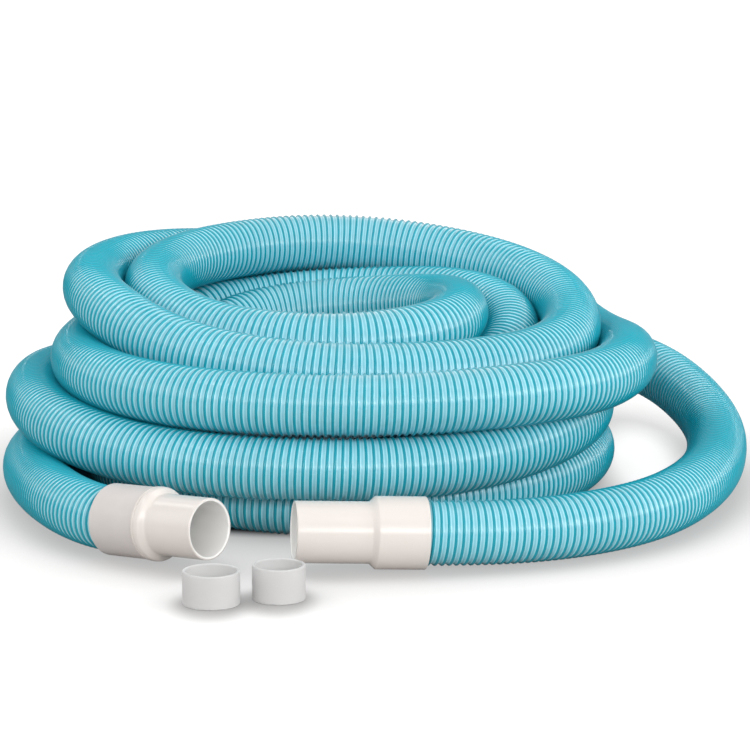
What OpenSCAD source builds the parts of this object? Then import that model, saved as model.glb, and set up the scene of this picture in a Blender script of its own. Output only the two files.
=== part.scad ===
// Suction hose for pool and spa vacuums, coiled flat on the floor.
// A spiral-wound corrugated hose ends in a swivelling cuff on the left and a
// one-piece fixed cuff on the right; two loose adapter sleeves stand in front.
// Origin: floor level, under the centre of the whole. +X right, +Y to the back.

/* [Hose] */
// Outside diameter over the ribs
hose_od = 45; // [43:0.5:45]
// Inside diameter
hose_id = 37; // [35:0.5:37.5]

/* [Cuffs] */
// Overall length of a cuff
cuff_len = 91; // [86:1:100]
// Outside diameter of the wide part that holds the hose
cuff_od = 50; // [49:0.5:52]
// Outside diameter of the spigot
spigot_od = 42.5; // [41.5:0.5:44]
// Bore of the spigot
spigot_id = 38.1; // [37.5:0.1:38.5]
// Depth of the socket that the hose is screwed into
socket_depth = 34; // [28:1:35]
// Length of the fixed cuff's conical shoulder
shoulder_len = 4; // [3:0.5:6]

/* [Swivel] */
// Length of the rear sleeve, up to the nozzle
sleeve_len = 38; // [37:0.5:40]
// Outside diameter of the journal that the nozzle turns on
journal_od = 43.6; // [43.2:0.1:44]
// Length of the journal
journal_len = 10; // [9:0.5:11]
// Radial running clearance of the nozzle on the journal
running = 0.06; // [0.03:0.01:0.1]
// Outside diameter of the nozzle's flange
flange_od = 51.5; // [51:0.5:53]
// Length of the nozzle's rounded shoulder, from the flange to the spigot
nose_len = 8.5; // [6:0.5:12]
// Axial gap between the sleeve and the nozzle
swivel_gap = 0.6; // [0.4:0.1:0.8]

/* [Adapters] */
// Outside diameter of the left adapter
adapter_left_od = 38.4; // [36:0.2:40]
// Height of the left adapter
adapter_left_h = 22.5; // [20:0.5:26]
// Outside diameter of the right adapter
adapter_right_od = 35.6; // [33:0.2:37]
// Height of the right adapter
adapter_right_h = 23.5; // [20:0.5:26]
// Wall thickness
adapter_wall = 2.2; // [1.6:0.1:3]

/* [Hidden] */
$fn = 96;
sides = 12;

hose_r = hose_od / 2;

// Where each cuff's rear rim lies, and how it points: [0, -rise, turn]
left_pos = [-182.4, -184.3, 25];
left_rot = [0, -4.5, -40];
right_pos = [33.8, -224.5, 25];
right_rot = [0, -2.5, 188];

adapter_left_pos = [-109, -315.8, 0];
adapter_right_pos = [-64.7, -304, 0];

// Centre of the coil, and the hose centrelines that bound its turns: [radius, height]
coil_pos = [-26, 61, 0];
coil_turns = [[182, 22.5], [203, 22.5], [231, 62], [229, 126], [201, 151.5],
              [140, 151.5], [88, 134], [82, 112], [108, 82]];

// Centrelines of the two tails, from the left cuff to the coil
// and from the coil to the right cuff
left_route = [left_pos, [-208, -154, 24.5], [-228, -113, 24], [-252, -26, 22.5],
              [-250, 63, 23], [-213, 144, 22.5]];
right_route = [[-125, 276, 52.5], [-41, 308, 49.5], [49, 312, 48.5],
               [135, 283, 54.5], [204, 225, 55.5], [246, 148, 41.5],
               [258, 61, 28.5], [246, -27, 24], [215, -111, 23],
               [159, -178, 22.5], [79, -216, 23.5], right_pos];

function unit(v) = v / norm(v);
// Direction of a cuff's axis, from its rear rim to its mouth
function aim(r) = [cos(r[1]) * cos(r[2]), cos(r[1]) * sin(r[2]), -sin(r[1])];
// Direction of a route at ring i; given directions win at the two ends
function heading(p, i, first, last) =
    i == 0 ? (is_undef(first) ? unit(p[1] - p[0]) : first)
  : i == len(p) - 1 ? (is_undef(last) ? unit(p[i] - p[i - 1]) : last)
  : unit(unit(p[i + 1] - p[i]) / norm(p[i + 1] - p[i])
         + unit(p[i] - p[i - 1]) / norm(p[i] - p[i - 1]));
// One ring of points round the route, its first point at the side
function ring(c, t, r) =
    let (s = unit(cross(t, [0, 0, 1])), u = cross(s, t))
    [for (k = [0 : sides - 1]) c + r * (cos(k * 360 / sides) * s + sin(k * 360 / sides) * u)];
// A closed tube swept along a route
module sweep(p, r, first, last) {
    n = len(p);
    pts = [for (i = [0 : n - 1]) each ring(p[i], heading(p, i, first, last), r)];
    skin = [for (i = [0 : n - 2], k = [0 : sides - 1])
        let (a = i * sides + k, b = i * sides + (k + 1) % sides)
        each [[a, b, a + sides], [b, b + sides, a + sides]]];
    back = [for (k = [sides - 1 : -1 : 0]) k];
    front = [for (k = [0 : sides - 1]) (n - 1) * sides + k];
    polyhedron(pts, concat(skin, [back, front]));
}

// A body turned about the cuff's axis; the profile is [radius, distance from the rear rim]
module turned(profile) {
    rotate([0, 90, 0]) rotate_extrude() polygon(profile);
}

module on_left() { translate(left_pos) rotate(left_rot) children(); }
module on_right() { translate(right_pos) rotate(right_rot) children(); }

// Outline a hose's radius outside a convex ring of centrelines, with round corners
function outline(c, r) =
    let (n = len(c))
    [for (i = [0 : n - 1])
        let (before = c[i] - c[(i + n - 1) % n], after = c[(i + 1) % n] - c[i],
             from = atan2(before[1], before[0]) - 90,
             swing = (atan2(after[1], after[0]) - 90 - from + 720) % 360,
             steps = ceil(swing / 12))
        for (k = [0 : steps])
            let (a = from + swing * k / steps) c[i] + r * [cos(a), sin(a)]];

// The coiled length, as one solid of its outer shape
module hose_coil() {
    color("lightskyblue") translate(coil_pos)
        rotate_extrude() polygon(outline(coil_turns, hose_r));
}

module hose_tail_left() {
    color("lightskyblue") sweep(left_route, hose_r, -aim(left_rot));
}

module hose_tail_right() {
    color("lightskyblue") sweep(right_route, hose_r, undef, aim(right_rot));
}

// The length of hose that sits in a cuff's socket
module hose_end() {
    turned([[hose_id / 2, 0], [hose_r, 0], [hose_r, socket_depth], [hose_id / 2, socket_depth]]);
}

module hose_end_left() { color("lightskyblue") on_left() hose_end(); }
module hose_end_right() { color("lightskyblue") on_right() hose_end(); }

journal_r = journal_od / 2;
groove_r = journal_r - 1.4;
bore_r = spigot_id / 2;
// The seal's and the retaining ring's grooves, measured from the sleeve's shoulder
seal_from = 2;
seal_w = 2.4;
lock_from = 5.2;
lock_w = 3.6;
// The retaining ring: width, and how far it stands into the nozzle
lock_ring_w = 2.4;
lock_ring_r = journal_r + 2;

// Rear half of the swivel cuff, fixed to the hose, with the journal at its front
module swivel_sleeve() {
    L = sleeve_len;
    color("linen") on_left() turned([
        [hose_r, 0], [cuff_od / 2 - 1.2, 0], [cuff_od / 2, 1.2],
        [cuff_od / 2, L - 0.6], [cuff_od / 2 - 0.6, L], [journal_r, L],
        [journal_r, L + seal_from], [groove_r, L + seal_from],
        [groove_r, L + seal_from + seal_w], [journal_r, L + seal_from + seal_w],
        [journal_r, L + lock_from], [groove_r, L + lock_from],
        [groove_r, L + lock_from + lock_w], [journal_r, L + lock_from + lock_w],
        [journal_r, L + journal_len - 0.4], [journal_r - 0.4, L + journal_len],
        [bore_r, L + journal_len], [bore_r, socket_depth], [hose_r, socket_depth]]);
}

// Seal ring in its groove on the journal
module swivel_seal() {
    a = sleeve_len + seal_from;
    color("dimgray") on_left() turned([
        [groove_r, a], [journal_r, a], [journal_r, a + seal_w], [groove_r, a + seal_w]]);
}

// Split ring that stands half in the journal's groove and half in the nozzle's
module swivel_retainer() {
    a = sleeve_len + lock_from + (lock_w - lock_ring_w) / 2;
    color("gainsboro") on_left() difference() {
        turned([[groove_r + 0.5, a], [lock_ring_r, a],
                [lock_ring_r, a + lock_ring_w], [groove_r + 0.5, a + lock_ring_w]]);
        translate([a - 1, -2, 0]) cube([lock_ring_w + 2, 4, hose_od]);
    }
}

// Front half of the swivel cuff: flange over the journal, shoulder and spigot
module swivel_nozzle() {
    a = sleeve_len + swivel_gap;
    b = sleeve_len + journal_len + 0.4;
    g = sleeve_len + lock_from + (lock_w - lock_ring_w) / 2;
    s = b + 0.6;
    color("seashell") on_left() turned([
        [journal_r + running, a], [flange_od / 2 - 0.8, a], [flange_od / 2, a + 0.8],
        [flange_od / 2, s - 1.6], [flange_od / 2 - 0.5, s],
        [flange_od / 2 - 1.6, s + 0.4 * nose_len],
        [spigot_od / 2, s + nose_len],
        [spigot_od / 2, cuff_len - 0.8], [spigot_od / 2 - 0.8, cuff_len],
        [bore_r + 0.6, cuff_len], [bore_r, cuff_len - 0.6],
        [bore_r, b], [journal_r + running, b],
        [journal_r + running, g + lock_ring_w], [lock_ring_r, g + lock_ring_w],
        [lock_ring_r, g], [journal_r + running, g]]);
}

// One-piece cuff of the right end
module fixed_cuff() {
    color("seashell") on_right() turned([
        [hose_r, 0], [cuff_od / 2 - 1.2, 0], [cuff_od / 2, 1.2],
        [cuff_od / 2, 35], [cuff_od / 2 - 0.6, 35.6],
        [spigot_od / 2, 35 + shoulder_len],
        [spigot_od / 2, cuff_len - 0.8], [spigot_od / 2 - 0.8, cuff_len],
        [bore_r + 0.6, cuff_len], [bore_r, cuff_len - 0.6],
        [bore_r, socket_depth], [hose_r, socket_depth]]);
}

// Loose straight sleeve that adapts a cuff to a smaller fitting, standing on end
module adapter(od, h) {
    r = od / 2;
    bore = r - adapter_wall;
    rotate_extrude() polygon([
        [bore + 0.5, 0], [r - 0.8, 0], [r, 0.8],
        [r, h - 0.5], [r - 0.5, h], [bore + 0.5, h], [bore, h - 0.5], [bore, 0.5]]);
}

module adapter_left() {
    color("whitesmoke", 0.6) translate(adapter_left_pos) adapter(adapter_left_od, adapter_left_h);
}

module adapter_right() {
    color("whitesmoke", 0.6) translate(adapter_right_pos) adapter(adapter_right_od, adapter_right_h);
}

hose_coil();
hose_tail_left();
hose_tail_right();
hose_end_left();
hose_end_right();
swivel_sleeve();
swivel_seal();
swivel_retainer();
swivel_nozzle();
fixed_cuff();
adapter_left();
adapter_right();
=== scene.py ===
"""Pool vacuum hose: the coiled corrugated hose, its two cuffs and the two loose adapters,
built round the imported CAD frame. Everything is in metres in the CAD's own frame."""

import math

import bpy
import numpy as np
from mathutils import Matrix, Vector


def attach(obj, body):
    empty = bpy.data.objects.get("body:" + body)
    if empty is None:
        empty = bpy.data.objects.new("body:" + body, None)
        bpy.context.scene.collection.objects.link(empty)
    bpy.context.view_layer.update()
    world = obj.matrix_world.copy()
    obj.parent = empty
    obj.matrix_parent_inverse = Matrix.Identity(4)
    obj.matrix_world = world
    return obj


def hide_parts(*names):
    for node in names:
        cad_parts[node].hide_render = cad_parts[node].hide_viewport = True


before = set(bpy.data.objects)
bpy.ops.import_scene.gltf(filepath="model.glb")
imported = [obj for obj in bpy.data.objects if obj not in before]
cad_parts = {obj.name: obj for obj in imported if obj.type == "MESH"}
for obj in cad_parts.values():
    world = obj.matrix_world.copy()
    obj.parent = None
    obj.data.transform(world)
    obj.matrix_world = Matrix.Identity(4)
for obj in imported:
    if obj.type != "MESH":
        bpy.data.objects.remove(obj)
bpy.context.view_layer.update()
scene = bpy.context.scene

# ---------------------------------------------------------------- camera
camera = bpy.data.cameras.new("camera")
camera.sensor_width = 36.0
camera.lens = 175.0
camera.clip_start, camera.clip_end = 0.05, 60.0
camera_object = bpy.data.objects.new("camera", camera)
camera_object.location = (-0.001, -2.6427, 0.6271)
camera_object.rotation_euler = (math.radians(78.5), 0.0, 0.0)
scene.collection.objects.link(camera_object)
scene.camera = camera_object

# ---------------------------------------------------------------- sizes, mm
WALL_R = 20.95         # the tube under the ribbed skin
INNER_R = 18.5
PITCH = 5.0
LEFT_POS, LEFT_TILT, LEFT_TURN = (-182.4, -184.3, 25.0), 4.5, -40.0
RIGHT_POS, RIGHT_TILT, RIGHT_TURN = (33.8, -224.5, 25.0), 2.5, 188.0
ADAPTER_LEFT, ADAPTER_RIGHT = (-109.0, -315.8), (-64.7, -304.0)

# The hose's centreline from inside the left cuff to inside the right one
ROUTE = [
    (-156.4, -206.1, 27.7), (-169.4, -195.2, 26.3), (-182.4, -184.3, 25), (-208, -154, 24.5),
    (-228, -113, 24), (-242, -70.1, 22.8), (-252, -26, 22.5), (-255.3, 18.6, 22.8),
    (-250, 63, 23), (-235.8, 105.4, 22.9), (-213, 144, 22.5), (-186.5, 175.1, 22.5),
    (-155.2, 201.4, 22.6), (-120.3, 222.7, 22.7), (-82.7, 239, 22.8), (-43, 248.5, 22.7),
    (-2.1, 249.1, 22.6), (37.7, 239.8, 22.7), (74, 221.1, 22.7), (105.3, 194.7, 22.5),
    (130.4, 162.4, 22.5), (148.1, 125.6, 22.7), (157.2, 85.7, 22.9), (157.3, 44.8, 22.7),
    (148.7, 4.9, 22.5), (131.8, -32.3, 22.5), (107.7, -65.4, 22.5), (77.5, -93, 22.5),
    (42.4, -114, 22.5), (3.7, -127.2, 22.5), (-37, -130.9, 22.5), (-77.2, -124.2, 23.2),
    (-114.6, -107.6, 24.6), (-147.1, -82.9, 25.7), (-173.5, -51.7, 27), (-192.1, -15.4, 29.7),
    (-200.5, 24.1, 37.5), (-198, 63.9, 50.5), (-183, 100, 64.5), (-162, 133, 86),
    (-138.5, 163, 103.5), (-107.5, 185, 107.3), (-70.4, 196, 110.5), (-30.1, 198.1, 113.2),
    (10, 191.4, 115.5), (47, 174.3, 118.3), (77.3, 147, 118.8), (96.6, 111.4, 115),
    (101.2, 71.8, 106.7), (91.3, 33.7, 96.2), (69.5, 0.5, 86.7), (39, -25.8, 79.7),
    (2.3, -43.1, 75.2), (-37.9, -49.6, 72.9), (-78.2, -43.4, 72.5), (-113.7, -23.5, 74.3),
    (-138.5, 8.4, 78.5), (-148.4, 47.4, 84.8), (-140.5, 86, 92), (-118.5, 118.5, 100.5),
    (-87.2, 143.3, 107.1), (-47.8, 152.7, 111.7), (-7.7, 146.7, 115.6), (26.7, 125.7, 120.7),
    (50.1, 92.7, 126.1), (60.5, 53.5, 129.8), (59.2, 12.7, 130.5), (45.4, -25.6, 128.9),
    (16.6, -54.1, 127.5), (-22.2, -66.4, 126.7), (-62.8, -63.2, 126.4), (-100.5, -47.5, 127.5),
    (-131.8, -21.6, 131), (-154.3, 12, 136.4), (-166.2, 50.7, 142), (-167.1, 91.3, 146),
    (-156.9, 130.8, 148.6), (-136.7, 166.2, 150.1), (-107.6, 194.8, 151.2), (-71.8, 214.4, 152),
    (-32.1, 224.3, 151.3), (8.7, 224.6, 148.6), (48.3, 215.6, 144.4), (84.4, 197, 139.5),
    (113.9, 169.4, 133.9), (134.4, 134.5, 128), (145.1, 95.5, 122.2), (146.9, 55, 116.8),
    (139.8, 15, 112.5), (122.9, -22.1, 109.9), (97, -53.6, 109), (64.7, -78.8, 109.5),
    (28.3, -97.3, 110.8), (-11.1, -108, 112.3), (-52, -109, 114.2), (-91.8, -100.3, 116.9),
    (-128.4, -82.7, 121.5), (-159.7, -57.4, 128.5), (-184.8, -26.1, 136.2), (-203, 10.1, 142),
    (-212.6, 49.7, 145.2), (-213.1, 90.5, 146.5), (-204.9, 130.6, 146.7), (-188.6, 168.1, 145.9),
    (-165.5, 201.7, 143.5), (-136.7, 230.5, 139.6), (-103.3, 253.7, 135), (-66.2, 270.4, 130.2),
    (-26.5, 279.5, 126.7), (14.3, 280.6, 124.9), (54.5, 273.3, 123.2), (91.6, 256.7, 119.1),
    (122.4, 231.2, 111.1), (145.5, 198.9, 101.2), (162.2, 162.4, 93.5), (174.9, 123.5, 91.3),
    (183.7, 83.6, 93.8), (187.4, 43, 97.4), (185.1, 2.3, 99.6), (175.7, -37.5, 100.2),
    (157.8, -74.3, 100.4), (131.2, -105.3, 100.9), (97.7, -128.7, 101), (59.9, -144.2, 100.5),
    (19.8, -152.6, 99.8), (-21, -154.7, 99.3), (-61.8, -150.8, 99), (-101.4, -140.4, 98.8),
    (-138.4, -123, 99), (-170.6, -97.9, 99.6), (-195.3, -65.4, 99.9), (-211, -27.7, 99.5),
    (-219.2, 12.4, 98.7), (-221.6, 53.3, 97.6), (-218.7, 94.1, 96.5), (-209.3, 133.9, 97),
    (-191.9, 170.8, 97.8), (-166.4, 202.7, 97.8), (-134.7, 228.4, 94.5), (-99.2, 248.3, 90),
    (-61.4, 263.5, 84.5), (-22.1, 274.3, 77.4), (18.4, 278.1, 74.2), (58.2, 269.6, 71.9),
    (90.3, 244.8, 69.9), (110.4, 209.4, 68.2), (122.5, 170.3, 67.2), (132.5, 130.5, 67.4),
    (142.7, 90.9, 68), (151.4, 50.9, 68.1), (154.2, 10.1, 67.2), (148.1, -30.3, 65.4),
    (132.3, -67.9, 62.8), (108.2, -100.8, 59.8), (77.6, -127.8, 57), (41.9, -147.6, 55.3),
    (2.7, -159, 54.9), (-38.1, -162, 55.1), (-78.8, -157.5, 55.1), (-118.2, -146.5, 55.5),
    (-155.4, -129.6, 56.7), (-189.1, -106.5, 59.2), (-217.2, -77, 62.7), (-237.7, -41.8, 66),
    (-250.1, -2.9, 68), (-255.6, 37.6, 68.5), (-255.1, 78.6, 67.9), (-248, 118.8, 65.8),
    (-233.8, 157, 62.6), (-213.5, 192.4, 59), (-188.2, 224.4, 55.9), (-158.5, 252.5, 53.7),
    (-125, 276, 52.5), (-84.1, 294.9, 51.1), (-41, 308, 49.5), (3.8, 314.2, 48.2),
    (49, 312, 48.5), (93.4, 301.7, 51.1), (135, 283, 54.5), (172, 257, 56.7),
    (204, 225, 55.5), (228.9, 188.5, 49.6), (246, 148, 41.5), (255.8, 105.2, 34),
    (258, 61, 28.5), (254, 16.8, 25.3), (246, -27, 24), (233.1, -70, 23.4),
    (215, -111, 23), (190.7, -147.6, 22.6), (159, -178, 22.5), (120.8, -200.8, 22.6),
    (79, -216, 23.5), (33.8, -224.5, 25), (17, -226.9, 25.7), (0.2, -229.2, 26.5),
]


def spline(points, step):
    """A smooth curve through the points, with a point about every step mm."""
    p = np.array(points, float)
    t = np.concatenate([[0], np.cumsum(np.linalg.norm(np.diff(p, axis=0), axis=1))])
    n, h = len(p), np.diff(t)
    a, b = np.zeros((n, n)), np.zeros((n, 3))
    a[0, 0] = a[-1, -1] = 1.0
    for i in range(1, n - 1):
        a[i, i - 1], a[i, i], a[i, i + 1] = h[i - 1], 2 * (h[i - 1] + h[i]), h[i]
        b[i] = 6 * ((p[i + 1] - p[i]) / h[i] - (p[i] - p[i - 1]) / h[i - 1])
    m = np.linalg.solve(a, b)

    def at(u):
        k = np.clip(np.searchsorted(t, u, side="right") - 1, 0, n - 2)
        d, r, w = (u - t[k])[:, None], (t[k + 1] - u)[:, None], h[k][:, None]
        return (m[k] * r**3 + m[k + 1] * d**3) / (6 * w) + (
            p[k] / w - m[k] * w / 6) * r + (p[k + 1] / w - m[k + 1] * w / 6) * d

    u = np.linspace(0, t[-1], 16001)
    q = at(u)
    s = np.concatenate([[0], np.cumsum(np.linalg.norm(np.diff(q, axis=0), axis=1))])
    count = int(round(s[-1] / step)) + 1
    return at(np.interp(np.linspace(0, s[-1], count), s, u)), s[-1]


class Line:
    """The centreline with a frame that doesn't twist, read at any length along it."""

    def __init__(self, points):
        self.p, self.length = spline(points, 2.0)
        self.s = np.concatenate([[0], np.cumsum(np.linalg.norm(np.diff(self.p, axis=0), axis=1))])
        self.length = self.s[-1]
        t = np.gradient(self.p, self.s, axis=0)
        self.t = t / np.linalg.norm(t, axis=1)[:, None]
        u = np.zeros_like(self.p)
        up = np.array([0.0, 0.0, 1.0])
        u[0] = up - up.dot(self.t[0]) * self.t[0]
        u[0] /= np.linalg.norm(u[0])
        for i in range(len(self.p) - 1):
            v1 = self.p[i + 1] - self.p[i]
            c1 = v1.dot(v1)
            ul = u[i] - (2 / c1) * v1.dot(u[i]) * v1
            tl = self.t[i] - (2 / c1) * v1.dot(self.t[i]) * v1
            v2 = self.t[i + 1] - tl
            c2 = v2.dot(v2)
            un = ul - (2 / c2) * v2.dot(ul) * v2 if c2 > 1e-18 else ul
            un -= un.dot(self.t[i + 1]) * self.t[i + 1]
            u[i + 1] = un / np.linalg.norm(un)
        self.u, self.v = u, np.cross(self.t, u)

    def at(self, s):
        s = np.clip(s, 0, self.length)
        f = [np.stack([np.interp(s, self.s, a[:, k]) for k in range(3)], axis=-1)
             for a in (self.p, self.t, self.u, self.v)]
        for i in (1, 2, 3):
            f[i] /= np.linalg.norm(f[i], axis=-1, keepdims=True)
        return f


def mesh_object(name, verts_mm, faces, smooth=True, body="hose"):
    """verts in mm, faces an (n, 4) array of corner indices."""
    verts = np.asarray(verts_mm, np.float32) / 1000.0
    faces = np.asarray(faces, np.int32)
    mesh = bpy.data.meshes.new(name)
    mesh.vertices.add(len(verts))
    mesh.vertices.foreach_set("co", verts.ravel())
    mesh.loops.add(faces.size)
    mesh.loops.foreach_set("vertex_index", faces.ravel())
    mesh.polygons.add(len(faces))
    k = faces.shape[1]
    mesh.polygons.foreach_set("loop_start", np.arange(len(faces), dtype=np.int32) * k)
    mesh.polygons.foreach_set("use_smooth", np.full(len(faces), smooth))
    mesh.update(calc_edges=True)
    mesh.validate()
    o = bpy.data.objects.new(name, mesh)
    scene.collection.objects.link(o)
    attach(o, body)
    return o


# ---------------------------------------------------------------- the hose
line = Line(ROUTE)
SOCKET = 25.0                      # how far the shown hose runs into each cuff
first, last = 34.0 - SOCKET, line.length - (34.0 - SOCKET)


def hose_wall():
    """The web as a hollow tube: its outside, its bore and its two end faces."""
    n = 40
    rings = int(round((last - first) / 7.0)) + 1
    s = np.linspace(first, last, rings)
    p, t, u, v = line.at(s)
    a = np.arange(n) * 2 * math.pi / n
    out = u[:, None] * np.cos(a)[None, :, None] + v[:, None] * np.sin(a)[None, :, None]
    outer = p[:, None] + WALL_R * out
    inner = p[:, None] + INNER_R * out
    verts = np.concatenate([outer.reshape(-1, 3), inner.reshape(-1, 3)])
    i, j = np.meshgrid(np.arange(rings - 1), np.arange(n), indexing="ij")
    i, j = i.ravel(), j.ravel()
    jn, m = (j + 1) % n, rings * n
    skin = np.stack([i * n + j, i * n + jn, (i + 1) * n + jn, (i + 1) * n + j], 1)
    bore = (skin + m)[:, ::-1]
    j = np.arange(n)
    jn = (j + 1) % n
    start = np.stack([j, j + m, jn + m, jn], 1)
    k = (rings - 1) * n
    end = np.stack([k + j, k + jn, k + jn + m, k + j + m], 1)
    o = mesh_object("hose_wall", verts, np.concatenate([skin, bore, start, end]))
    return o, p / 1000.0


# Half of one pitch of the ribbed skin, from the rib's crown down its flank to the middle of
# the hollow web beside it: (along, radius)
HALF = [(0.0, 22.5), (0.26, 22.45), (0.50, 22.32), (0.71, 22.11), (0.86, 21.84), (0.96, 21.57),
        (1.10, 21.38), (1.38, 21.22), (1.8, 21.12), (2.5, 21.05)]
SECTION = [(-a, r) for a, r in HALF[:0:-1]] + HALF
AROUND = 32


def hose_skin(pieces):
    """The rib and the hollow web beside it, wound round the hose once every PITCH, in several lengths."""
    turns = int((last - first - 6.0) / PITCH)
    cuts = np.linspace(0, turns, pieces + 1).astype(int) * AROUND
    top = len(SECTION)
    section = SECTION + [(2.5, 20.7), (-2.5, 20.7)]
    k = len(section)
    along = np.array([r[0] for r in section])
    radius = np.array([r[1] for r in section])
    made = []
    for piece in range(pieces):
        m = np.arange(cuts[piece], cuts[piece + 1] + 1)
        p, t, u, v = line.at((first + 3.0 + PITCH * m / AROUND)[:, None] + along[None, :])
        a = (-2 * math.pi * m / AROUND)[:, None, None]
        verts = p + (u * np.cos(a) + v * np.sin(a)) * radius[None, :, None]
        i, j = np.meshgrid(np.arange(len(m) - 1), np.arange(k), indexing="ij")
        i, j = i.ravel(), j.ravel()
        jn = (j + 1) % k
        faces = np.stack([i * k + j, i * k + jn, (i + 1) * k + jn, (i + 1) * k + j], 1)
        o = mesh_object("hose_skin_%02d" % (piece + 1), verts.reshape(-1, 3), faces)
        mesh = o.data
        across = mesh.attributes.new("across", "FLOAT", "POINT")
        across.data.foreach_set("value", np.tile(along, len(m)).astype(np.float32))
        # each turn's skin meets the next one's in the web, so the shading stops there
        pairs = np.zeros(len(mesh.edges) * 2, np.int32)
        mesh.edges.foreach_get("vertices", pairs)
        pairs = pairs.reshape(-1, 2) % k
        sharp = ((pairs[:, 0] == 0) & (pairs[:, 1] == 0)) | ((pairs[:, 0] == top - 1) & (pairs[:, 1] == top - 1))
        flag = mesh.attributes.new("sharp_edge", "BOOLEAN", "EDGE")
        flag.data.foreach_set("value", sharp)
        # a layout with one row for each turn
        rows = (len(m) - 1) // AROUND
        share = np.clip(np.arange(k) / (top - 1), 0, 1)
        share[top:] = [1.0, 0.0]
        u0, row = (i % AROUND) / AROUND, i // AROUND
        lo, hi = (row + share[j]) / rows, (row + share[jn]) / rows
        uv = np.stack([np.stack([u0, lo], 1), np.stack([u0, hi], 1),
                       np.stack([u0 + 1 / AROUND, hi], 1), np.stack([u0 + 1 / AROUND, lo], 1)], 1)
        layer = mesh.uv_layers.new(name="OFBake")
        layer.data.foreach_set("uv", uv.reshape(-1).astype(np.float32))
        made.append(o)
    return made


wall, centres = hose_wall()
ribs = hose_skin(16)
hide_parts("hose_coil", "hose_tail_left", "hose_tail_right", "hose_end_left", "hose_end_right")


# ---------------------------------------------------------------- turned pieces
def rounded(corners):
    """A closed outline from (x, r, fillet) corners; each fillet gets an arc and two support points."""
    pts, n = [], len(corners)
    for i in range(n):
        c = np.array(corners[i][:2], float)
        f = corners[i][2]
        a = np.array(corners[i - 1][:2], float) - c
        b = np.array(corners[(i + 1) % n][:2], float) - c
        la, lb = np.linalg.norm(a), np.linalg.norm(b)
        a, b = a / la, b / lb
        if f <= 0:
            pts.append(c)
            continue
        half = math.acos(max(-1.0, min(1.0, float(a.dot(b))))) / 2
        d = min(f / math.tan(half), 0.46 * la, 0.46 * lb)
        r = d * math.tan(half)
        centre = c + (a + b) / np.linalg.norm(a + b) * (r / math.sin(half))
        p0, p1 = c + a * d, c + b * d
        extra = min(0.35, 0.04 * la)
        pts.append(p0 + a * extra)
        s0, s1 = p0 - centre, p1 - centre
        w = math.acos(max(-1.0, min(1.0, float(s0.dot(s1)) / (r * r))))
        steps = max(3, int(math.ceil(math.degrees(w) / 13)))
        for k in range(steps + 1):
            q = k / steps
            if w > 1e-6:
                pts.append(centre + (math.sin((1 - q) * w) * s0 + math.sin(q * w) * s1) / math.sin(w))
        extra = min(0.35, 0.04 * lb)
        pts.append(p1 + b * extra)
    return np.array(pts)


def on_cuff(pos, tilt, turn):
    """Maps (along, side, up) on the cuff's own axis to the row frame, in mm."""
    t, y = math.radians(tilt), math.radians(turn)
    x = np.array([math.cos(t) * math.cos(y), math.cos(t) * math.sin(y), math.sin(t)])
    side = np.array([-math.sin(y), math.cos(y), 0.0])
    up = np.cross(x, side)
    return lambda q: np.array(pos) + q[..., :1] * x + q[..., 1:2] * side + q[..., 2:3] * up


def lathe(name, profile, place, segments=180, body="hose"):
    """A closed turned solid; profile is (x, r) points round its section, in order."""
    n = len(profile)
    a = np.arange(segments) * 2 * math.pi / segments
    q = np.zeros((segments, n, 3))
    q[..., 0] = profile[None, :, 0]
    q[..., 1] = profile[None, :, 1] * np.cos(a)[:, None]
    q[..., 2] = profile[None, :, 1] * np.sin(a)[:, None]
    verts = place(q.reshape(-1, 3))
    i, j = np.meshgrid(np.arange(segments), np.arange(n), indexing="ij")
    i, j = i.ravel(), j.ravel()
    i2, j2 = (i + 1) % segments, (j + 1) % n
    faces = np.stack([i * n + j, i * n + j2, i2 * n + j2, i2 * n + j], 1)
    o = mesh_object(name, verts, faces, body=body)
    # marks the faces nearer the axis than 20.2 mm, which the cuff material paints lighter as painted light in the
    # bore
    bore = o.data.attributes.new("bore", "FLOAT", "POINT")
    bore.data.foreach_set("value", np.tile(np.where(profile[:, 1] < 20.2, 1.0, 0.0), segments).astype(np.float32))
    import bmesh
    bm = bmesh.new()
    bm.from_mesh(o.data)
    bmesh.ops.recalc_face_normals(bm, faces=bm.faces)
    bm.to_mesh(o.data)
    bm.free()
    return o


LEFT = on_cuff(LEFT_POS, LEFT_TILT, LEFT_TURN)
RIGHT = on_cuff(RIGHT_POS, RIGHT_TILT, RIGHT_TURN)

# Rear sleeve of the swivel cuff, with its journal, seal and ring grooves
sleeve = lathe("swivel_sleeve_body", rounded([
    (0.0, 22.75, 0.6), (0.0, 25.0, 1.8), (39.95, 25.0, 0.5), (39.95, 21.8, 0.0),
    (40.0, 21.8, 0.0), (40.0, 20.4, 0.0), (42.4, 20.4, 0.0), (42.4, 21.8, 0.0),
    (43.2, 21.8, 0.0), (43.2, 20.4, 0.0), (46.8, 20.4, 0.0), (46.8, 21.8, 0.0),
    (48.0, 21.8, 0.3), (48.0, 19.05, 0.3), (34.0, 19.05, 0.0), (34.0, 22.75, 0.0)]), LEFT)
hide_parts("swivel_sleeve")

# Nozzle of the swivel cuff: flange with a fine groove, rounded shoulder, spigot
nozzle = lathe("swivel_nozzle_body", rounded([
    (40.5, 21.86, 0.0), (40.5, 25.6, 0.4), (41.9, 25.6, 0.35), (42.3, 24.9, 0.2), (43.0, 24.9, 0.2),
    (43.5, 25.8, 0.5), (47.2, 25.5, 2.6), (49.8, 21.25, 1.8), (91.0, 21.25, 0.9),
    (91.0, 19.05, 1.25), (48.4, 19.05, 0.2), (48.4, 21.86, 0.0),
    (46.2, 21.86, 0.0), (46.2, 23.8, 0.0), (43.8, 23.8, 0.0), (43.8, 21.86, 0.0)]), LEFT, body="nozzle")
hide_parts("swivel_nozzle")

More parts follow.
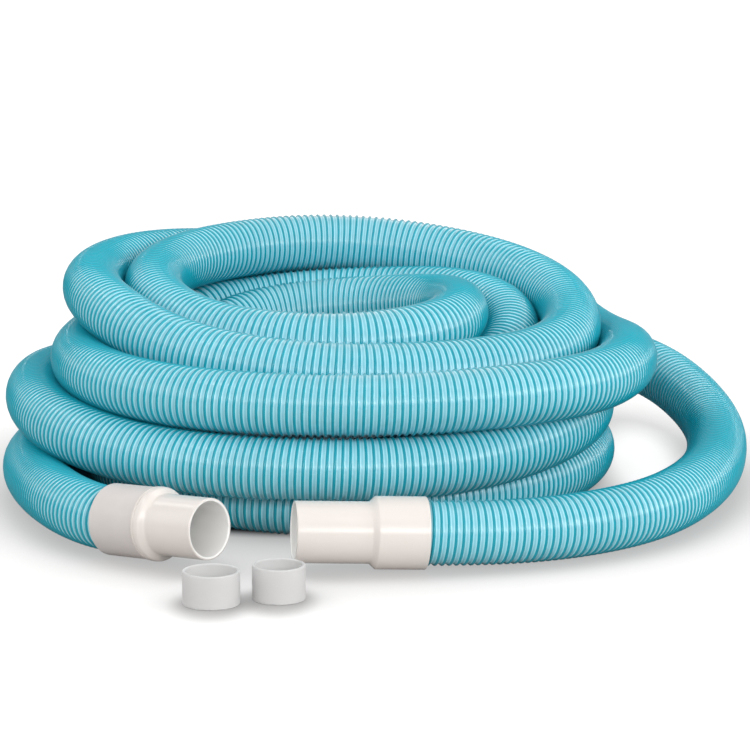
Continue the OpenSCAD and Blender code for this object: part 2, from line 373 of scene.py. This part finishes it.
# One-piece cuff of the right end
fixed = lathe("fixed_cuff_body", rounded([
    (0.0, 22.75, 0.6), (0.0, 25.0, 1.8), (35.2, 25.0, 1.8), (39.2, 21.25, 1.6), (91.0, 21.25, 0.9),
    (91.0, 19.05, 1.25), (34.0, 19.05, 0.3), (34.0, 22.75, 0.0)]), RIGHT)
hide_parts("fixed_cuff")


def upright(x, y):
    return lambda q: np.stack([x + q[..., 1], y + q[..., 2], q[..., 0]], axis=-1)


left_adapter = lathe("adapter_left_sleeve", rounded([
    (0.0, 17.0, 0.5), (0.0, 19.2, 0.9), (22.5, 19.2, 0.8), (22.5, 17.0, 0.8)]),
    upright(*ADAPTER_LEFT), body="left_adapter")
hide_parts("adapter_left")
right_adapter = lathe("adapter_right_sleeve", rounded([
    (0.0, 15.6, 0.5), (0.0, 17.8, 0.9), (23.5, 17.8, 0.8), (23.5, 15.6, 0.8)]),
    upright(*ADAPTER_RIGHT), body="right_adapter")
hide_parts("adapter_right")


# ---------------------------------------------------------------- materials
def material(name, color, roughness, **sockets):
    m = bpy.data.materials.new(name)
    m.use_nodes = True
    nodes, links = m.node_tree.nodes, m.node_tree.links
    nodes.clear()
    out = nodes.new("ShaderNodeOutputMaterial")
    b = nodes.new("ShaderNodeBsdfPrincipled")
    links.new(b.outputs[0], out.inputs[0])
    b.inputs["Base Color"].default_value = (*color, 1.0)
    b.inputs["Roughness"].default_value = roughness
    for key, value in sockets.items():
        b.inputs[key.replace("_", " ")].default_value = value
    return m, nodes, links, b


def mottle(nodes, links, b, base, other, scale, amount, detail=3.0, rough=None, bump=None, bump_scale=900.0):
    """Soft colour variation, with optional roughness variation and fine bump, all in object space."""
    tc = nodes.new("ShaderNodeTexCoord")
    n = nodes.new("ShaderNodeTexNoise")
    n.inputs["Scale"].default_value = scale
    n.inputs["Detail"].default_value = detail
    links.new(tc.outputs["Object"], n.inputs["Vector"])
    ramp = nodes.new("ShaderNodeValToRGB")
    ramp.color_ramp.elements[0].position = 0.5 - amount
    ramp.color_ramp.elements[1].position = 0.5 + amount
    ramp.color_ramp.elements[0].color = (*base, 1)
    ramp.color_ramp.elements[1].color = (*other, 1)
    links.new(n.outputs[0], ramp.inputs[0])
    links.new(ramp.outputs[0], b.inputs["Base Color"])
    if rough is not None:
        mr = nodes.new("ShaderNodeMapRange")
        mr.inputs["To Min"].default_value, mr.inputs["To Max"].default_value = rough
        mr.inputs["From Min"].default_value, mr.inputs["From Max"].default_value = 0.3, 0.7
        links.new(n.outputs[0], mr.inputs["Value"])
        links.new(mr.outputs[0], b.inputs["Roughness"])
    if bump is not None:
        fine = nodes.new("ShaderNodeTexNoise")
        fine.inputs["Scale"].default_value = bump_scale
        fine.inputs["Detail"].default_value = 4.0
        links.new(tc.outputs["Object"], fine.inputs["Vector"])
        bp = nodes.new("ShaderNodeBump")
        bp.inputs["Strength"].default_value = bump
        bp.inputs["Distance"].default_value = 0.0002
        links.new(fine.outputs[0], bp.inputs["Height"])
        links.new(bp.outputs[0], b.inputs["Normal"])
    return tc


def put(o, m):
    o.data.materials.clear()
    o.data.materials.append(m)


WALL_A, WALL_B = (0.20, 0.55, 0.66), (0.22, 0.58, 0.69)

web_m, nodes, links, b = material("hose_wall_pale_blue", WALL_A, 0.4)
mottle(nodes, links, b, WALL_A, WALL_B, 22.0, 0.2, rough=(0.36, 0.44), bump=0.03, bump_scale=900.0)
put(wall, web_m)

# the skin, by its place across one pitch: deep teal on the rib's crown, cyan down its flanks and
# pale blue in the hollow web, all of it a little uneven along the hose; the web is painted lightest
# at its edges beside the rib, a painted highlight, and darker towards its middle, painted shade in the hollow
SKIN_TONES_AND_PAINTED_HIGHLIGHT = [(0.0, (0.008, 0.28, 0.365)), (0.27, (0.008, 0.30, 0.385)), (0.34, (0.0, 0.39, 0.490)),
        (0.395, (0.003, 0.415, 0.515)), (0.45, (0.45, 0.78, 0.835)), (0.58, (0.36, 0.69, 0.775)),
        (0.76, (0.26, 0.59, 0.690)), (1.0, (0.21, 0.53, 0.640))]
skin_m, nodes, links, b = material("hose_skin_turquoise", WALL_A, 0.3, Specular_IOR_Level=0.2,
                                   Coat_Weight=0.55, Coat_Roughness=0.12)
mottle(nodes, links, b, (0.95, 0.95, 0.95), (1.0, 1.0, 1.0), 22.0, 0.2, rough=(0.29, 0.36), bump=0.02,
       bump_scale=900.0)
uneven = b.inputs["Base Color"].links[0].from_socket
across = nodes.new("ShaderNodeAttribute")
across.attribute_type = "GEOMETRY"
across.attribute_name = "across"
off = nodes.new("ShaderNodeMath")
off.operation = "ABSOLUTE"
links.new(across.outputs["Fac"], off.inputs[0])
share = nodes.new("ShaderNodeMath")
share.operation = "DIVIDE"
share.inputs[1].default_value = 2.5
links.new(off.outputs[0], share.inputs[0])
bands = nodes.new("ShaderNodeValToRGB")
stops = bands.color_ramp.elements
stops[0].position, stops[0].color = SKIN_TONES_AND_PAINTED_HIGHLIGHT[0][0], (*SKIN_TONES_AND_PAINTED_HIGHLIGHT[0][1], 1)
stops[1].position, stops[1].color = SKIN_TONES_AND_PAINTED_HIGHLIGHT[-1][0], (*SKIN_TONES_AND_PAINTED_HIGHLIGHT[-1][1], 1)
for at, colour in SKIN_TONES_AND_PAINTED_HIGHLIGHT[1:-1]:
    stops.new(at).color = (*colour, 1)
links.new(share.outputs[0], bands.inputs[0])
blend = nodes.new("ShaderNodeMix")
blend.data_type, blend.blend_type = "RGBA", "MULTIPLY"
blend.inputs[0].default_value = 1.0
links.new(bands.outputs[0], blend.inputs[6])
links.new(uneven, blend.inputs[7])
links.new(blend.outputs[2], b.inputs["Base Color"])
for r in ribs:
    put(r, skin_m)

cuff_m, nodes, links, b = material("cuff_gloss", (0.80, 0.78, 0.74), 0.2)
mottle(nodes, links, b, (0.70, 0.655, 0.62), (0.68, 0.635, 0.60), 45.0, 0.4, rough=(0.22, 0.25), bump=0.01, bump_scale=700.0)
# painted light: the bore is painted a little lighter than the outside, to brighten the inside of the mouths
tone = b.inputs["Base Color"].links[0].from_socket
inner = nodes.new("ShaderNodeAttribute")
inner.attribute_type = "GEOMETRY"
inner.attribute_name = "bore"
bore_painted_light = nodes.new("ShaderNodeMix")
bore_painted_light.data_type = "RGBA"
links.new(inner.outputs["Fac"], bore_painted_light.inputs[0])
links.new(tone, bore_painted_light.inputs[6])
bore_painted_light.inputs[7].default_value = (0.89, 0.88, 0.86, 1)
links.new(bore_painted_light.outputs[2], b.inputs["Base Color"])
sleeve_m, nodes, links, b = material("sleeve_matte", (0.72, 0.69, 0.64), 0.45)
mottle(nodes, links, b, (0.60, 0.565, 0.545), (0.565, 0.53, 0.51), 55.0, 0.25, rough=(0.42, 0.52), bump=0.12, bump_scale=1500.0)
put(fixed, cuff_m)
put(nozzle, cuff_m)
put(sleeve, sleeve_m)

ad_m, nodes, links, b = material("adapter_frosted", (0.93, 0.935, 0.94), 0.4)
b.inputs["Transmission Weight"].default_value = 0.4
b.inputs["IOR"].default_value = 1.3
b.inputs["Sheen Weight"].default_value = 0.35
b.inputs["Sheen Roughness"].default_value = 0.35
mottle(nodes, links, b, (0.89, 0.887, 0.88), (0.84, 0.837, 0.83), 50.0, 0.3, rough=(0.40, 0.5), bump=0.05, bump_scale=1200.0)
put(left_adapter, ad_m)
put(right_adapter, ad_m)

seal_m, nodes, links, b = material("seal_rubber", (0.02, 0.02, 0.02), 0.6)
mottle(nodes, links, b, (0.02, 0.02, 0.02), (0.03, 0.03, 0.03), 120.0, 0.2, rough=(0.55, 0.7))
ring_m, nodes, links, b = material("ring_plastic", (0.75, 0.75, 0.72), 0.35)
mottle(nodes, links, b, (0.75, 0.75, 0.72), (0.70, 0.70, 0.67), 120.0, 0.2, rough=(0.3, 0.4))
put(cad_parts["swivel_seal"], seal_m)
put(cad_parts["swivel_retainer"], ring_m)

# ---------------------------------------------------------------- floor, light
LOW, BAND, HIGH = 0.30, 1.45, 0.15      # the studio's own light, by height

bpy.ops.mesh.primitive_plane_add(size=40.0, location=(0, 0, 0))
floor = bpy.context.object
floor.name = "floor"
SHADE_LIFT, OPEN_LIFT = 0.56, 0.97
floor_m, nodes, links, b = material("floor_white", (0.55, 0.53, 0.52), 0.8)
b.inputs["Specular IOR Level"].default_value = 0.1
b.inputs["Emission Color"].default_value = (1, 1, 1, 1)


def ramp_value(nodes, links, source, low, high, to_low, to_high):
    n = nodes.new("ShaderNodeMapRange")
    n.interpolation_type = "SMOOTHSTEP"
    n.inputs["From Min"].default_value, n.inputs["From Max"].default_value = low, high
    n.inputs["To Min"].default_value, n.inputs["To Max"].default_value = to_low, to_high
    links.new(source, n.inputs["Value"])
    return n.outputs[0]


def product(nodes, links, one, other):
    n = nodes.new("ShaderNodeMath")
    n.operation = "MULTIPLY"
    links.new(one, n.inputs[0])
    links.new(other, n.inputs[1])
    return n.outputs[0]


# The paper the hose lies on: it glows white where it is open, with painted shade that greys it the closer it gets
# to the object; the glow and the painted shade show only to camera and transmission rays
seen = nodes.new("ShaderNodeLightPath")
near = nodes.new("ShaderNodeAmbientOcclusion")
near.samples = 16
near.inputs["Distance"].default_value = 0.12
fall = nodes.new("ShaderNodeMath")
fall.operation = "POWER"
fall.inputs[1].default_value = 3.6
links.new(near.outputs["AO"], fall.inputs[0])
where = nodes.new("ShaderNodeTexCoord")


def oval(x, y, across, deep, low, high, to_low, to_high):
    """A soft-edged oval on the floor, in metres."""
    place = nodes.new("ShaderNodeMapping")
    place.inputs["Location"].default_value = (-x / across, -y / deep, 0.0)
    place.inputs["Scale"].default_value = (1 / across, 1 / deep, 0.0)
    links.new(where.outputs["Object"], place.inputs["Vector"])
    ring = nodes.new("ShaderNodeVectorMath")
    ring.operation = "LENGTH"
    links.new(place.outputs[0], ring.inputs[0])
    return ramp_value(nodes, links, ring.outputs["Value"], low, high, to_low, to_high)


clear = oval(-0.047, 0.059, 0.211, 0.193, 0.92, 1.06, 0.0, 1.0)      # painted shade: dark teal and not glowing under the coil
middle = oval(-0.042, 0.052, 0.088, 0.088, 0.75, 1.0, 1.0, 0.0)      # open in the coil's own middle
# painted light: the paper inside the right-hand loop is kept white where the occlusion would grey it
loop = oval(0.205, 0.105, 0.038, 0.152, 0.40, 1.20, 0.95, 0.0)
open_share = nodes.new("ShaderNodeMath")
open_share.operation = "MAXIMUM"
links.new(fall.outputs[0], open_share.inputs[0])
links.new(loop, open_share.inputs[1])
lift = ramp_value(nodes, links, open_share.outputs[0], 0.0, 1.0, SHADE_LIFT, OPEN_LIFT)
lift.node.interpolation_type = "LINEAR"
# painted contact shade: the glow is greyed a little more within about three centimetres of any part
touch = nodes.new("ShaderNodeAmbientOcclusion")
touch.samples = 12
touch.inputs["Distance"].default_value = 0.032
contact = ramp_value(nodes, links, touch.outputs["AO"], 0.35, 1.0, 0.80, 1.0)
lift = product(nodes, links, lift, contact)
for (x, y), r in ((ADAPTER_LEFT, 0.0335), (ADAPTER_RIGHT, 0.0315)):      # a soft shade under each loose adapter
    lift = product(nodes, links, lift, oval(x / 1000, y / 1000 - 0.006, r * 0.9, 0.048, 0.45, 1.10, 0.60, 1.0))
looks = nodes.new("ShaderNodeMath")
looks.operation = "MAXIMUM"
links.new(seen.outputs["Is Camera Ray"], looks.inputs[0])
links.new(seen.outputs["Is Transmission Ray"], looks.inputs[1])
lift = product(nodes, links, product(nodes, links, lift, clear), looks.outputs[0])
links.new(lift, b.inputs["Emission Strength"])
paper = nodes.new("ShaderNodeMix")
paper.data_type = "RGBA"
links.new(looks.outputs[0], paper.inputs[0])
paper.inputs[6].default_value = (0.55, 0.53, 0.52, 1)
# the paper's colour to the camera: dark teal under the coil as painted shade, a lighter grey that the lamps light
# in the coil's middle, and dark grey under the glow elsewhere
grey = nodes.new("ShaderNodeValToRGB")
grey.color_ramp.elements[0].color, grey.color_ramp.elements[1].color = (0.01, 0.07, 0.10, 1), (0.13, 0.125, 0.12, 1)
links.new(clear, grey.inputs[0])
core = nodes.new("ShaderNodeMix")
core.data_type = "RGBA"
links.new(middle, core.inputs[0])
links.new(grey.outputs[0], core.inputs[6])
core.inputs[7].default_value = (0.50, 0.53, 0.54, 1)
links.new(core.outputs[2], paper.inputs[7])
links.new(paper.outputs[2], b.inputs["Base Color"])
put(floor, floor_m)

# A bright band of studio wall round the horizon, little from the floor's edge or straight above
world = bpy.data.worlds.new("world")
scene.world = world
world.use_nodes = True
nodes, links = world.node_tree.nodes, world.node_tree.links
bg = nodes["Background"]
bg.inputs[0].default_value = (1.0, 1.0, 1.0, 1.0)
where = nodes.new("ShaderNodeTexCoord")
height = nodes.new("ShaderNodeSeparateXYZ")
links.new(where.outputs["Generated"], height.inputs[0])
glow = nodes.new("ShaderNodeValToRGB")
stops = glow.color_ramp
stops.elements[0].position, stops.elements[0].color = 0.0, (LOW, LOW, LOW, 1)
stops.elements[1].position, stops.elements[1].color = 1.0, (HIGH, HIGH, HIGH, 1)
for at, value in ((0.14, LOW), (0.24, BAND), (0.56, BAND), (0.68, HIGH)):
    e = stops.elements.new(at)
    e.color = (value, value, value, 1)
links.new(height.outputs["Z"], glow.inputs[0])
seen = nodes.new("ShaderNodeLightPath")
pick = nodes.new("ShaderNodeMix")
pick.data_type = "FLOAT"
looks = nodes.new("ShaderNodeMath")
looks.operation = "MAXIMUM"
links.new(seen.outputs["Is Camera Ray"], looks.inputs[0])
links.new(seen.outputs["Is Transmission Ray"], looks.inputs[1])
links.new(looks.outputs[0], pick.inputs[0])
links.new(glow.outputs[0], pick.inputs[2])
pick.inputs[3].default_value = 1.05
links.new(pick.outputs[0], bg.inputs[1])


def area(name, location, target, size, power, shape="RECTANGLE", size_y=None, color=(1, 1, 1)):
    l = bpy.data.lights.new(name, "AREA")
    l.shape = shape
    l.size = size
    if size_y:
        l.size_y = size_y
    l.energy = power
    l.color = color
    o = bpy.data.objects.new(name, l)
    o.location = location
    o.rotation_euler = (Vector(target) - Vector(location)).to_track_quat("-Z", "Y").to_euler()
    scene.collection.objects.link(o)
    return o


def softbox(name, azimuth, elevation, distance, width, height, radiance, color=(1, 1, 1)):
    """A soft light seen from the object's middle at these angles, in degrees."""
    a, e = math.radians(azimuth), math.radians(elevation)
    centre = Vector((0.0, 0.0, 0.06))
    place = centre + distance * Vector((math.cos(e) * math.cos(a), math.cos(e) * math.sin(a), math.sin(e)))
    area(name, place, centre, width, radiance * math.pi * width * height, size_y=height, color=color)


softbox("front_right", -57, 19, 3.6, 2.2, 0.62, 8.2)
softbox("front_left", -120, 20, 3.6, 1.5, 0.62, 4.3)
softbox("upper_left", -184, 54, 3.0, 1.2, 0.22, 14.0)
softbox("back_left", 139, 43, 3.0, 0.5, 0.16, 9.0)
softbox("low_right", -12, 18, 3.6, 1.0, 0.8, 8.2)
softbox("left_top", -140, 46, 3.2, 1.4, 0.9, 0.8)
softbox("front_top", -90, 60, 3.2, 2.4, 1.2, 1.0)
softbox("front_fill", -88, 17, 3.6, 2.0, 0.8, 2.3)
softbox("right_top", 0, 50, 3.2, 1.2, 1.2, 2.5)
softbox("top", 90, 84, 3.2, 3.0, 2.4, 0.7)

scene.view_settings.view_transform = "Standard"
scene.view_settings.look = "None"
scene.view_settings.exposure = 0.0
scene.view_settings.gamma = 1.0
scene.cycles.use_denoising = True
scene.cycles.max_bounces = 10
scene.cycles.diffuse_bounces = 5
scene.cycles.caustics_reflective = False
scene.cycles.caustics_refractive = False
